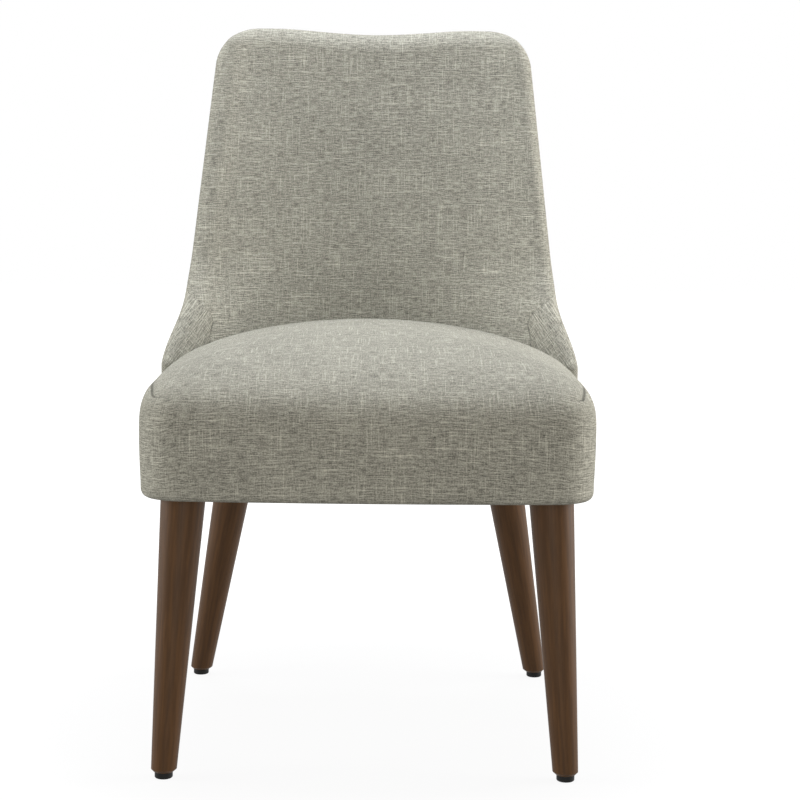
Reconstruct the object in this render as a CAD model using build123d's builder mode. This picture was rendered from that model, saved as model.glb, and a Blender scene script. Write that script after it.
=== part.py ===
from build123d import *
import os
from math import cos, hypot, radians, sin, sqrt, tan

os.makedirs("parts", exist_ok=True)

# An upholstered side chair with a barrel back, in millimetres.
# The origin is on the floor, under the middle of the chair. +X is to the right of someone who
# stands in front of it, +Y is towards the back, and +Z is up. Left and right are as seen from the front.

# Overall size
overall_depth = 620.0
overall_height = 898.0

# Seat cushion: rounded box sides under a dome with full shoulders
seat_width = 527.0
seat_base = 328.0  # height of the underside
seat_widest = 405.0  # height where the sides swell most
seat_crown = 510.0  # height of the crown
crown_power = 1.8  # exponent of the dome, in plan
side_power = 3.5  # exponent of its sides, in height
crown_setback = 128.0  # the crown peaks this far before the back's outer face
cushion_end = 18.0  # the cushion's form ends this far before the same face
front_bow = 12.0  # the front bulges this far beyond its corners
side_bow = 6.0  # the sides bulge this far beyond their ends
front_corner = 48.0
rear_corner = 150.0
base_edge = 7.0  # rounding of the bottom edge
base_draw = 2.5  # the sides draw in this far towards the bottom

# Back: a U in plan that leans back and narrows upwards
back_top_width = 425.0
recline = 12.0  # degrees, of the outer face
recline_start = 420.0  # the outer face is upright below this height
back_overhang = 97.0  # the top stands this far behind the outer face's foot
rear_radius = 520.0  # plan radius of the outer face
low_corner = 120.0  # plan radius of the outer corners at the seat
high_corner = 40.0  # the same at the top
thick_at_seat = 70.0  # thickness of the back in the middle
thick_at_top = 50.0
rim_round = 24.0  # rounding of the top edge
rim_turn = 70.0  # degrees of that rounding that are modelled
top_corner = 54.0  # rounding of the top corners, seen from the front
corner_rise = 46.0  # height of that rounding

# Wings: where the sides of the back sweep forward to the seat
wing_low = 458.0  # height of the wing's foot
wing_high = 605.0  # the sweep fades into the rim here
wing_power = 2.2  # how quickly it fades
wing_reach = 218.0  # the wing's foot reaches this far before the back's outer face
wing_flare = 13.2  # the foot stands this much further out
wing_proud = 1.47  # the foot stands this far outside the seat's sides
flare_high = 540.0  # the flare starts here
rim_reach = 27.0  # the rim's front stands this far before the outer corner's end
wing_face = 60.0  # width of the wing's facing at its foot
rim_face = 38.0  # width of the rim above the wings
wing_bevel = 45.0  # the facing runs back this far
rim_bevel = 18.0
wing_nose = 12.0  # rounding of the outer front edge at the foot
rim_nose = 19.0
facing_swell = 3.0

# Covers, padding and clearances
cover_thick = 1.6
dust_cover_thick = 0.8
dust_cover_inset = 6.0  # from the frame's outline
outer_pad = 11.0  # padding between the back shell and its cover
crease_gap = 1.0  # between the seat and the back
slip = 0.2  # clearance between the frame and what is pulled over it
hem_inset = 16.0  # the covers end this far inside the frame's outline, under the seat
seam_setback = 16.0  # the outside back cover ends this far behind the rim's front
seam_drop = 20.0  # and this far below its top

# Back shell of bent plywood
shell_thick = 9.0
shell_setback = 14.0  # behind the rim's front
shell_drop = 24.0  # below the rim's top
shell_lift = 12.0  # above the rails' underside

# Seat frame
rail_height = 70.0
rail_thick = 22.0
front_pad = 30.0  # padding in front of the front rail
frame_corner = 26.0
side_rail_end = 163.0  # before the back's outer face
rear_block_inset = 138.5  # inner end of the rear corner blocks, from the seat's sides
rear_block_web = 30.0  # the rear blocks reach this far inside the side rails
front_block_width = 50.0
front_block_depth = 60.0
deck_thick = 12.0

# Legs and glides
leg_top_diameter = 52.0
leg_foot_diameter = 29.0
foot_chamfer = 3.5
front_leg_inset = (51.8, 80.0)  # top, from the seat's side and front
front_leg_splay = (21.4, 21.0)  # the foot stands this far outside the top
rear_leg_inset = (88.0, 81.0)  # top, from the seat's side and the back's outer face
rear_leg_splay = (61.1, 92.0)
glide_diameter = 21.0
glide_height = 7.5
glide_edge = 2.2
nail_diameter = 2.6
nail_head_diameter = 8.0
nail_head_thick = 1.2
nail_head_height = 3.0  # from the glide's face to the head
nail_length = 18.0

# Leg bolts and tee nuts
bolt_diameter = 8.0
bolt_in_leg = 42.0
nut_seat = 34.0  # height of the tee nut's flange above the block's underside
nut_barrel_diameter = 11.0
nut_barrel_length = 12.0
nut_flange_diameter = 19.0
nut_flange_thick = 1.8
bolt_past_nut = 3.0

# Screws, dowels and staples
screw_diameter = 4.0
screw_head_diameter = 8.0
screw_head_depth = 2.6
deck_screw_length = 36.0
deck_screw_pitch = 130.0  # along the front and side rails
rear_screw_pitch = 120.0  # along the rear rail
shell_screw_length = 26.0
shell_screw_setback = 20.0  # from the end of the side rails
shell_screw_pitch = 180.0  # on the rear rail
shell_screw_end = 24.0  # from the rail's top and bottom
shell_screw_sink = 0.5  # the heads lie this far below the shell's face
block_screw_length = 64.0
block_screw_back = 14.0  # from the block's rear face
block_screw_end = 18.0  # from the block's top and bottom
dowel_diameter = 8.0
dowel_length = 24.0
dowel_end = 17.0  # from the rail's top and bottom
staple_crown = 10.0
staple_leg = 6.0
staple_wire = 0.7
staple_inset = 11.0  # from the frame's outline
staple_pitch = 60.0

# Derived places, from the overall size and the seat's width
seat_half = seat_width / 2
front_y = -overall_depth / 2
base_rear_y = overall_depth / 2 - back_overhang
crown_y = base_rear_y - crown_setback
cushion_end_y = base_rear_y - cushion_end
wing_front_y = base_rear_y - wing_reach
side_rail_end_y = base_rear_y - side_rail_end
shell_screw_y = side_rail_end_y - shell_screw_setback
rear_block_x = seat_half - rear_block_inset
back_foot_half = seat_half + wing_proud - wing_flare
side_slope = (back_foot_half - back_top_width / 2) / (overall_height - wing_low)
front_leg_top = (seat_half - front_leg_inset[0], front_y + front_leg_inset[1])
front_leg_foot = (front_leg_top[0] + front_leg_splay[0], front_leg_top[1] - front_leg_splay[1])
rear_leg_top = (seat_half - rear_leg_inset[0], base_rear_y - rear_leg_inset[1])
rear_leg_foot = (rear_leg_top[0] + rear_leg_splay[0], rear_leg_top[1] + rear_leg_splay[1])

# Derived heights
cover_base = seat_base + dust_cover_thick
rail_base = cover_base + cover_thick
rail_top = rail_base + rail_height
deck_top = rail_top + deck_thick
rim_centre = overall_height - rim_round * sin(radians(rim_turn))
corner_centre = overall_height - corner_rise
shell_inset = cover_thick + outer_pad
frame_inset = shell_inset + shell_thick + slip


# Shape of the seat cushion


def seat_outline(height, scale, inset):
    """Plan outline of the cushion, shrunk towards the crown's peak by scale after an even inset."""
    half = (seat_half - inset) * scale
    front = crown_y - (crown_y - front_y - inset) * scale
    rear = crown_y + (cushion_end_y - inset - crown_y) * scale
    end = half - side_bow * scale
    shoulder = front + front_bow * scale
    with BuildSketch(Plane.XY.offset(height)) as outline:
        with BuildLine():
            ThreePointArc((-end, shoulder), (0, front), (end, shoulder))
            ThreePointArc((end, shoulder), (half, (shoulder + rear) / 2), (end, rear))
            Line((end, rear), (-end, rear))
            ThreePointArc((-end, rear), (-half, (shoulder + rear) / 2), (-end, shoulder))
        make_face()
        fillet(outline.vertices().group_by(Axis.Y)[0], front_corner * scale)
        fillet(outline.vertices().group_by(Axis.Y)[-1], rear_corner * scale)
    return outline.sketch


def base_tuck(height, inset):
    """How far the sides are drawn in at a height, and rounded under at the bottom edge."""
    rise = max(height - cover_base - inset, 0)
    if rise < base_edge:
        return base_draw + base_edge - sqrt(base_edge**2 - (base_edge - rise) ** 2)
    wall = seat_widest - cover_base - inset - base_edge
    return base_draw * max(1 - (rise - base_edge) / wall, 0) ** 2


def base_edge_heights(inset):
    """Heights of the sections through the rounded bottom edge."""
    return [cover_base + inset + base_edge * share for share in (0, 0.3, 1)]


def wall_heights(inset, top):
    """Heights of the sections through the drawn-in sides."""
    low = cover_base + inset + base_edge
    return [low, (low + seat_widest) / 2, top]


def crown_section(angle, inset):
    """Outline of the crown at an angle along its profile: 0 at the sides, 90 at the peak."""
    rise = sin(radians(angle)) ** (2 / side_power)
    scale = cos(radians(angle)) ** (2 / crown_power)
    return seat_outline(seat_widest + (seat_crown - inset - seat_widest) * rise, scale, inset)


def seat_form(inset):
    """The whole cushion, inset evenly: rounded bottom edge, drawn-in sides, shoulders and dome."""
    with BuildPart() as form:
        for heights in (base_edge_heights(inset), wall_heights(inset, seat_widest)):
            loft([seat_outline(z, 1, inset + base_tuck(z, inset)) for z in heights])
        for angles in ((0, 4, 11, 21, 33), (33, 45, 57, 69, 81)):
            loft([crown_section(angle, inset) for angle in angles])
    return form.part


# Shape of the back


def wing_share(height):
    """How much of the wing there is at a height: 1 at its foot and below, 0 where it fades out."""
    rise = (height - wing_low) / (wing_high - wing_low)
    return (1 - min(max(rise, 0), 1)) ** wing_power


def flare_share(height):
    """How much of the flare there is at a height: an S from 1 at the wing's foot to 0."""
    rise = (height - wing_low) / (flare_high - wing_low)
    return (1 + cos(radians(180 * min(max(rise, 0), 1)))) / 2


def blend(at_foot, at_rim, height):
    """A size that goes from its value at the wing's foot to its value on the rim."""
    return at_rim + (at_foot - at_rim) * wing_share(height)


def corner_drop(height, inset):
    """How far the top corners' rounding narrows the back at a height."""
    radius = top_corner - inset
    return radius - sqrt(radius**2 - max(height - corner_centre, 0) ** 2)


def rim_inset(height, inset):
    """The inset of both faces at a height, with the rounding of the top edge."""
    radius = rim_round - inset
    return rim_round - sqrt(radius**2 - max(height - rim_centre, 0) ** 2)


def back_plan(height, narrow):
    """Plan sizes of the back at a height, narrowed evenly: half-width, rear, corner radius and
    centre, and the front of the rim."""
    half = back_foot_half - max(height - wing_low, 0) * side_slope
    half += wing_flare * flare_share(height) - narrow
    rear = base_rear_y + max(height - recline_start, 0) * tan(radians(recline))
    rise = max(height - recline_start, 0) / (overall_height - recline_start)
    corner = low_corner + (high_corner - low_corner) * rise
    centre_x = half - corner
    centre_y = rear - rear_radius + sqrt((rear_radius - corner) ** 2 - centre_x**2)
    front = blend(wing_front_y, centre_y - rim_reach, height)
    return half, rear, corner, (centre_x, centre_y), front


def flip(point):
    """The same point on the other side of the chair."""
    return (-point[0], point[1])


def outer_points(height, inset, narrow):
    """Points of the outer face, inset evenly: end of the side, corner, end of the rear, middle."""
    half, rear, corner, centre, _ = back_plan(height, narrow)
    away_x, away_y = centre[0], centre[1] - (rear - rear_radius)
    away = hypot(away_x, away_y)
    away_x, away_y = away_x / away, away_y / away
    between = hypot(away_x + 1, away_y)
    radius = corner - inset
    side = (half - inset, centre[1])
    bend = (centre[0] + radius * (away_x + 1) / between, centre[1] + radius * away_y / between)
    tangent = (centre[0] + radius * away_x, centre[1] + radius * away_y)
    return side, bend, tangent, (0, rear - inset)


def outer_lines(height, inset, narrow, end_y):
    """The outer face from its right end to its left end: side, corner, rear, corner, side."""
    side, bend, tangent, rear = outer_points(height, inset, narrow)
    end = (side[0], end_y)
    Line(end, side)
    ThreePointArc(side, bend, tangent)
    ThreePointArc(tangent, rear, flip(tangent))
    ThreePointArc(flip(tangent), flip(bend), flip(side))
    Line(flip(side), flip(end))
    return end


def front_points(height, inset, narrow):
    """Points from the side to the inner face: nose start, middle and end, facing, seam, inner middle."""
    half, rear, _, _, front = back_plan(height, narrow)
    nose = blend(wing_nose, rim_nose, height)
    round_x, round_y = half - nose, front + nose
    radius = nose - inset
    start = (round_x + radius, round_y)
    middle = (round_x + radius * cos(radians(45)), round_y - radius * sin(radians(45)))
    end = (round_x, round_y - radius)
    seam_x = half - blend(wing_face, rim_face, height)
    seam_y = front + blend(wing_bevel, rim_bevel, height)
    rise = (height - seat_crown) / (overall_height - seat_crown)
    inner_y = rear - (thick_at_seat + (thick_at_top - thick_at_seat) * rise)
    sag = inner_y - seam_y
    inner_radius = (seam_x**2 + sag**2) / (2 * sag)
    grow = (inner_radius + inset) / inner_radius
    inner_centre_y = inner_y - inner_radius
    seam = (seam_x * grow, inner_centre_y + (seam_y - inner_centre_y) * grow)
    run_x, run_y = end[0] - seam[0], seam[1] - end[1]
    swell = facing_swell / hypot(run_x, run_y)
    facing = ((end[0] + seam[0]) / 2 - run_y * swell, (end[1] + seam[1]) / 2 - run_x * swell)
    return start, middle, end, facing, seam, (0, inner_y + inset)


def back_section(height, inset):
    """Closed plan section of the padded back at a height."""
    drop = corner_drop(height, inset)
    tuck = base_tuck(height, max(inset, 0))
    rounded = rim_inset(height, inset)
    start, middle, end, facing, seam, inner = front_points(height, rounded, drop + tuck)
    with BuildSketch(Plane.XY.offset(height)) as section:
        with BuildLine():
            outer_lines(height, rounded + tuck, drop, start[1])
            ThreePointArc(start, middle, end)
            ThreePointArc(end, facing, seam)
            ThreePointArc(seam, inner, flip(seam))
            ThreePointArc(flip(seam), flip(facing), flip(end))
            ThreePointArc(flip(end), flip(middle), flip(start))
        make_face()
    return section.sketch


def sweep_heights():
    """Heights of the sections through the wings."""
    return [wing_low + (wing_high - wing_low) * share for share in (0, 0.15, 0.32, 0.5, 0.72, 1)]


def rim_heights():
    """Heights of the sections between the wings and the top edge."""
    return [wing_high + (rim_centre - wing_high) * share for share in (0.2, 0.4, 0.6, 0.8, 1)]


def top_heights(inset):
    """Heights of the sections through the rounded top edge."""
    radius = rim_round - inset
    return [rim_centre + radius * sin(radians(rim_turn * share)) for share in (0, 0.45, 0.75, 1)]


def back_form(inset):
    """The whole padded back, inset evenly: bottom edge, upright base, leaning sides, top edge."""
    bands = [base_edge_heights(inset), wall_heights(inset, wing_low)]
    bands += [sweep_heights() + rim_heights(), top_heights(inset)]
    with BuildPart() as form:
        for heights in bands:
            loft([back_section(z, inset) for z in heights])
    return form.part


def sheet_section(height, outer_inset, inner_inset, setback):
    """Closed plan section of a sheet along the outer face of the back."""
    drop = corner_drop(height, 0)
    end_y = back_plan(height, drop)[4] + setback
    with BuildSketch(Plane.XY.offset(height)) as section:
        with BuildLine():
            outer_end = outer_lines(height, outer_inset, drop, end_y)
            inner_end = outer_lines(height, inner_inset, drop, end_y)
            Line(outer_end, inner_end)
            Line(flip(outer_end), flip(inner_end))
        make_face()
    return section.sketch


def bent_sheet(outer_inset, inner_inset, setback, bottom, top):
    """A sheet that follows the outer face of the back between two insets."""
    leaning = [z for z in sweep_heights() + rim_heights() if z < top]
    with BuildPart() as sheet:
        loft([sheet_section(z, outer_inset, inner_inset, setback) for z in (bottom, recline_start)])
        heights = [recline_start] + leaning + [top]
        loft([sheet_section(z, outer_inset, inner_inset, setback) for z in heights])
    return sheet.part


# Outline of the seat frame


def frame_outline(height, inset):
    """Plan outline of the frame: straight front and sides, and the curve of the back at the rear."""
    front = front_y + front_pad + inset
    with BuildSketch(Plane.XY.offset(height)) as outline:
        with BuildLine():
            end = outer_lines(recline_start, frame_inset + inset, 0, front)
            Line(end, flip(end))
        make_face()
        if inset < frame_corner:
            fillet(outline.vertices().group_by(Axis.Y)[0], frame_corner - inset)
    return outline.sketch


def frame_block(bottom, top, inset):
    """Everything inside the frame's outline between two heights."""
    with BuildPart() as block:
        extrude(frame_outline(bottom, inset), amount=top - bottom)
    return block.part


# Places on the frame

frame_half = outer_points(recline_start, frame_inset, 0)[0][0]
side_rail_x = frame_half - rail_thick / 2
side_rail_inside = frame_half - rail_thick
front_rail_y = front_y + front_pad + rail_thick / 2
front_rail_back = front_rail_y + rail_thick / 2
sides = {"left": -1, "right": 1}


def rear_curve_y(x, inset):
    """The y of the frame's curved rear at x, inset from the back's outer face."""
    return base_rear_y - rear_radius + sqrt((rear_radius - inset) ** 2 - x**2)


def rear_plane(x, inset, height):
    """A plane on the curved rear, facing outwards."""
    y = rear_curve_y(x, inset)
    return Plane(origin=(x, y, height), x_dir=(0, 0, 1), z_dir=(x, y - base_rear_y + rear_radius, 0))


rear_rail_y = rear_curve_y(rear_block_x, frame_inset + rail_thick / 2)


# Leg axes: each plane stands on the top of a leg, square to the leg

leg_ends = {"front": (front_leg_top, front_leg_foot), "rear": (rear_leg_top, rear_leg_foot)}
leg_axes = {}
glide_places = {}
for end_name, (leg_top, leg_foot) in leg_ends.items():
    lean_x, lean_y = leg_top[0] - leg_foot[0], leg_top[1] - leg_foot[1]
    share = glide_height / seat_base
    for side_name, side in sides.items():
        leg_axes[f"{end_name}_{side_name}"] = Plane(
            origin=(side * leg_top[0], leg_top[1], seat_base),
            x_dir=(0, seat_base, -lean_y),
            z_dir=(side * lean_x, lean_y, seat_base),
        )
        glide_places[f"{end_name}_{side_name}"] = (
            side * (leg_foot[0] + lean_x * share),
            leg_foot[1] + lean_y * share,
        )


def nut_rise(axis):
    """How far along the leg's axis a tee nut's flange stands above the leg."""
    return (rail_base + nut_seat - seat_base) / axis.z_dir.Z


def nut_plane(axis):
    """The plane under a tee nut's flange, square to the leg."""
    return axis.offset(nut_rise(axis))


def rod(plane, radius, start, end, mode=Mode.ADD):
    """A round rod along a plane's normal, between two distances from the plane."""
    with Locations(plane.offset(start).location):
        Cylinder(radius, end - start, align=(Align.CENTER, Align.CENTER, Align.MIN), mode=mode)


def screw(plane, length):
    """A countersunk screw: its head lies flush in the plane and its shank runs behind it."""
    shank = screw_diameter / 2
    top = (Align.CENTER, Align.CENTER, Align.MAX)
    with Locations(plane.location):
        Cone(shank, screw_head_diameter / 2, screw_head_depth, align=top)
    rod(plane, shank, -length, -screw_head_depth)


# Fasteners

with BuildPart() as frame_dowels:
    for height in (rail_base + dowel_end, rail_top - dowel_end):
        for side in sides.values():
            half = dowel_length / 2
            for joint_y in (front_rail_back, side_rail_end_y):
                along = Plane(origin=(side * side_rail_x, joint_y, height), z_dir=(0, 1, 0))
                rod(along, dowel_diameter / 2, -half, half)
            across = Plane(origin=(side * rear_block_x, rear_rail_y, height), z_dir=(1, 0, 0))
            rod(across, dowel_diameter / 2, -half, half)

with BuildPart() as deck_screws:
    for step in (-1, 0, 1):
        screw(Plane((step * deck_screw_pitch, front_rail_y, deck_top)), deck_screw_length)
    for side in sides.values():
        for step in (-1, 0):
            place = (side * side_rail_x, step * deck_screw_pitch, deck_top)
            screw(Plane(place), deck_screw_length)
        rear_x = side * rear_screw_pitch / 2
        rear_y = rear_curve_y(rear_x, frame_inset + rail_thick / 2)
        screw(Plane((rear_x, rear_y, deck_top)), deck_screw_length)

shell_screw_places = []
for height in (rail_base + shell_screw_end, rail_top - shell_screw_end):
    for side in sides.values():
        head_x = side * (frame_half + slip + shell_thick - shell_screw_sink)
        shell_screw_places.append(
            Plane(origin=(head_x, shell_screw_y, height), x_dir=(0, 0, 1), z_dir=(side, 0, 0))
        )
        rear_x = side * shell_screw_pitch / 2
        shell_screw_places.append(rear_plane(rear_x, shell_inset + shell_screw_sink, height))

with BuildPart() as shell_screws:
    for place in shell_screw_places:
        screw(place, shell_screw_length)

with BuildPart() as corner_block_screws:
    for height in (rail_base + block_screw_end, rail_top - block_screw_end):
        for side in sides.values():
            block_x = side * (side_rail_inside - front_block_width)
            block_y = front_rail_back + front_block_depth - block_screw_back
            place = Plane(origin=(block_x, block_y, height), x_dir=(0, 0, 1), z_dir=(-side, 0, 0))
            screw(place, block_screw_length)

with BuildPart() as leg_hanger_bolts:
    for axis in leg_axes.values():
        bolt_top = nut_rise(axis) + nut_flange_thick + bolt_past_nut
        rod(axis, bolt_diameter / 2, -bolt_in_leg, bolt_top)

with BuildPart() as leg_tee_nuts:
    for axis in leg_axes.values():
        nut = nut_plane(axis)
        rod(nut, nut_barrel_diameter / 2, -nut_barrel_length, 0)
        rod(nut, nut_flange_diameter / 2, 0, nut_flange_thick)
    add(leg_hanger_bolts.part, mode=Mode.SUBTRACT)

with BuildPart() as glide_nails:
    for place in glide_places.values():
        head = Plane((*place, nail_head_height))
        rod(head, nail_head_diameter / 2, 0, nail_head_thick)
        rod(head, nail_diameter / 2, nail_head_thick, nail_length)

with BuildPart() as dust_cover_staples:
    staple_places = []
    staple_y = front_rail_y - rail_thick / 2 + staple_inset
    for step in (-2, -1, 0, 1, 2):
        staple_places.append(Location((step * staple_pitch, staple_y, seat_base)))
    for side in sides.values():
        for step in (-2, -1, 0):
            place = (side * (frame_half - staple_inset), step * staple_pitch, seat_base)
            staple_places.append(Location(place, (0, 0, 90)))
        rear_x = side * staple_pitch
        rear_y = rear_curve_y(rear_x, frame_inset + staple_inset)
        staple_places.append(Location((rear_x, rear_y, seat_base)))
    with Locations(*staple_places):
        Box(staple_crown, staple_wire, staple_wire, align=(Align.CENTER, Align.CENTER, Align.MAX))
        with Locations((-staple_crown / 2, 0), (staple_crown / 2, 0)):
            below = (Align.CENTER, Align.CENTER, Align.MIN)
            with Locations((0, 0, -staple_wire)):
                Box(staple_wire, staple_wire, staple_leg, align=below)


# Seat frame

with BuildPart() as front_rail:
    extrude(frame_outline(rail_base, 0), amount=rail_height)
    split(bisect_by=Plane.XZ.offset(-front_rail_back), keep=Keep.TOP)
    for fasteners in (frame_dowels, deck_screws, dust_cover_staples):
        add(fasteners.part, mode=Mode.SUBTRACT)

with BuildPart() as rear_rail:
    extrude(frame_outline(rail_base, 0), amount=rail_height)
    extrude(frame_outline(rail_base, rail_thick), amount=rail_height, mode=Mode.SUBTRACT)
    split(bisect_by=Plane.XZ, keep=Keep.BOTTOM)
    split(bisect_by=Plane.YZ.offset(rear_block_x), keep=Keep.BOTTOM)
    split(bisect_by=Plane.YZ.offset(-rear_block_x), keep=Keep.TOP)
    for fasteners in (frame_dowels, deck_screws, shell_screws, dust_cover_staples):
        add(fasteners.part, mode=Mode.SUBTRACT)

side_rails = {}
for side_name, side in sides.items():
    with BuildPart() as side_rail:
        with BuildSketch(Plane.XY.offset(rail_base)):
            with Locations((side * side_rail_x, (front_rail_back + side_rail_end_y) / 2)):
                Rectangle(rail_thick, side_rail_end_y - front_rail_back)
        extrude(amount=rail_height)
        for fasteners in (frame_dowels, deck_screws, shell_screws, corner_block_screws):
            add(fasteners.part, mode=Mode.SUBTRACT)
        add(dust_cover_staples.part, mode=Mode.SUBTRACT)
    side_rails[f"{side_name}_side_rail"] = side_rail


def cut_leg_seat(axis):
    """The hole for a tee nut's barrel and the wider one over its flange."""
    nut = nut_plane(axis)
    rod(nut, nut_barrel_diameter / 2, -rail_height, 0, Mode.SUBTRACT)
    rod(nut, nut_flange_diameter / 2 + slip, 0, rail_height, Mode.SUBTRACT)


corner_blocks = {}
for side_name, side in sides.items():
    with BuildPart() as front_block:
        with BuildSketch(Plane.XY.offset(rail_base)):
            block_x = side * (side_rail_inside - front_block_width / 2)
            with Locations((block_x, front_rail_back + front_block_depth / 2)):
                Rectangle(front_block_width, front_block_depth)
        extrude(amount=rail_height)
        cut_leg_seat(leg_axes[f"front_{side_name}"])
        add(corner_block_screws.part, mode=Mode.SUBTRACT)
    corner_blocks[f"front_{side_name}_corner_block"] = front_block

    with BuildPart() as rear_block:
        extrude(frame_outline(rail_base, 0), amount=rail_height)
        split(bisect_by=Plane.XZ.offset(-side_rail_end_y), keep=Keep.BOTTOM)
        outwards = Plane(origin=(side * rear_block_x, 0, 0), x_dir=(0, 0, 1), z_dir=(side, 0, 0))
        split(bisect_by=outwards, keep=Keep.TOP)
        web_start = (side * (side_rail_inside - rear_block_web), side_rail_end_y, 0)
        split(bisect_by=Plane(origin=web_start, x_dir=(0, 0, 1), z_dir=(side, 1, 0)), keep=Keep.TOP)
        cut_leg_seat(leg_axes[f"rear_{side_name}"])
        add(frame_dowels.part, mode=Mode.SUBTRACT)
    corner_blocks[f"rear_{side_name}_corner_block"] = rear_block

with BuildPart() as seat_deck:
    extrude(frame_outline(rail_top, 0), amount=deck_thick)
    add(deck_screws.part, mode=Mode.SUBTRACT)


# Back shell

shell_form = bent_sheet(
    shell_inset,
    shell_inset + shell_thick,
    shell_setback,
    rail_base + shell_lift,
    overall_height - shell_drop,
)
with BuildPart() as back_shell:
    add(shell_form)
    for place in shell_screw_places:
        rod(place, screw_head_diameter / 2 + slip, 0, shell_inset, Mode.SUBTRACT)
    add(shell_screws.part, mode=Mode.SUBTRACT)


# Foam and covers, cut from the whole forms of the seat and the back

seat_outside = seat_form(0)
seat_inside = seat_form(cover_thick)
back_outside = back_form(0)
back_inside = back_form(cover_thick)
back_clear = back_form(-crease_gap)
frame_space = frame_block(rail_base, deck_top + slip, -slip)
foam_opening = frame_block(seat_base, deck_top + slip, -slip)
hem_opening = frame_block(seat_base, deck_top, hem_inset)

with BuildPart() as seat_foam:
    add(seat_inside)
    add(back_clear, mode=Mode.SUBTRACT)
    add(foam_opening, mode=Mode.SUBTRACT)

with BuildPart() as seat_cover:
    add(seat_outside)
    for cut in (seat_inside, back_clear, frame_space, hem_opening, dust_cover_staples.part):
        add(cut, mode=Mode.SUBTRACT)

with BuildPart() as back_foam:
    add(back_inside)
    for cut in (shell_form, foam_opening, shell_screws.part):
        add(cut, mode=Mode.SUBTRACT)

with BuildPart() as back_cover:
    add(back_outside)
    for cut in (back_inside, frame_space, hem_opening, dust_cover_staples.part):
        add(cut, mode=Mode.SUBTRACT)

# The outside back cover takes the outer face up to the seam behind the rim, and the hem
seam_top = overall_height - seam_drop
with BuildPart() as outside_zone:
    add(bent_sheet(-outer_pad, shell_inset, seam_setback, cover_base, seam_top))
    with BuildSketch(Plane.XY.offset(seat_base)):
        Rectangle(2 * seat_width, 2 * overall_depth)
    extrude(amount=dust_cover_thick + cover_thick + base_edge)

with BuildPart() as outside_back_cover:
    add(back_cover.part)
    add(outside_zone.part, mode=Mode.INTERSECT)

with BuildPart() as inside_back_cover:
    add(back_cover.part)
    add(outside_zone.part, mode=Mode.SUBTRACT)

with BuildPart() as dust_cover:
    extrude(frame_outline(seat_base, dust_cover_inset), amount=dust_cover_thick)
    for fasteners in (leg_hanger_bolts, dust_cover_staples):
        add(fasteners.part, mode=Mode.SUBTRACT)


# Legs and glides


def disc(plane, radius):
    """A round face on a plane."""
    with BuildSketch(plane) as round_face:
        Circle(radius)
    return round_face.sketch


legs = {}
glides = {}
for name, axis in leg_axes.items():
    leg_length = seat_base / axis.z_dir.Z
    growth = (leg_top_diameter - leg_foot_diameter) / 2 / leg_length
    spare = leg_top_diameter / 2
    with BuildPart() as leg:
        loft([
            disc(axis.offset(-leg_length - spare), leg_foot_diameter / 2 - growth * spare),
            disc(axis.offset(spare), leg_top_diameter / 2 + growth * spare),
        ])
        split(bisect_by=Plane.XY.offset(seat_base), keep=Keep.BOTTOM)
        split(bisect_by=Plane.XY.offset(glide_height), keep=Keep.TOP)
        chamfer(leg.faces().sort_by(Axis.Z)[0].edges(), foot_chamfer)
        for fasteners in (leg_hanger_bolts, glide_nails):
            add(fasteners.part, mode=Mode.SUBTRACT)
    legs[f"{name}_leg"] = leg

    with BuildPart() as glide:
        rod(Plane((*glide_places[name], 0)), glide_diameter / 2, 0, glide_height)
        fillet(glide.edges().sort_by(Axis.Z)[0], glide_edge)
        add(glide_nails.part, mode=Mode.SUBTRACT)
    glides[f"{name}_glide"] = glide


# Every piece under its own name

pieces = {
    "front_rail": front_rail,
    "rear_rail": rear_rail,
    **side_rails,
    **corner_blocks,
    "seat_deck": seat_deck,
    "back_shell": back_shell,
    "seat_foam": seat_foam,
    "seat_cover": seat_cover,
    "back_foam": back_foam,
    "inside_back_cover": inside_back_cover,
    "outside_back_cover": outside_back_cover,
    "dust_cover": dust_cover,
    **legs,
    **glides,
    "frame_dowels": frame_dowels,
    "deck_screws": deck_screws,
    "shell_screws": shell_screws,
    "corner_block_screws": corner_block_screws,
    "leg_hanger_bolts": leg_hanger_bolts,
    "leg_tee_nuts": leg_tee_nuts,
    "glide_nails": glide_nails,
    "dust_cover_staples": dust_cover_staples,
}
for name, piece in pieces.items():
    piece.part.label = name
    export_step(piece.part, f"parts/{name}.step")
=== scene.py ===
import math

import bpy
import numpy as np
from mathutils import Matrix, Vector


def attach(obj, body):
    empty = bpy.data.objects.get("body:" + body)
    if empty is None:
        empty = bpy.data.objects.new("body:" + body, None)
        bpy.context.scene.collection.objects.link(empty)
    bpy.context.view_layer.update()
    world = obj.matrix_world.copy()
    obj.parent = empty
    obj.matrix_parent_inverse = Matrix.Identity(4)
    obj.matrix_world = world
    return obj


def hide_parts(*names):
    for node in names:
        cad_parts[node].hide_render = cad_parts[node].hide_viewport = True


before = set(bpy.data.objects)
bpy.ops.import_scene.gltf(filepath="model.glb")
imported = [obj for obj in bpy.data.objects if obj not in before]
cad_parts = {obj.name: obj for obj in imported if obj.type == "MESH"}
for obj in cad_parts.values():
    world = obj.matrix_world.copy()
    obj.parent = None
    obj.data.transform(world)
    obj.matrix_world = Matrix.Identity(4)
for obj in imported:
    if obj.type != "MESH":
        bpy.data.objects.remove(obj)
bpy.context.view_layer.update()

# Sizes of the seat's form, in millimetres

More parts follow.
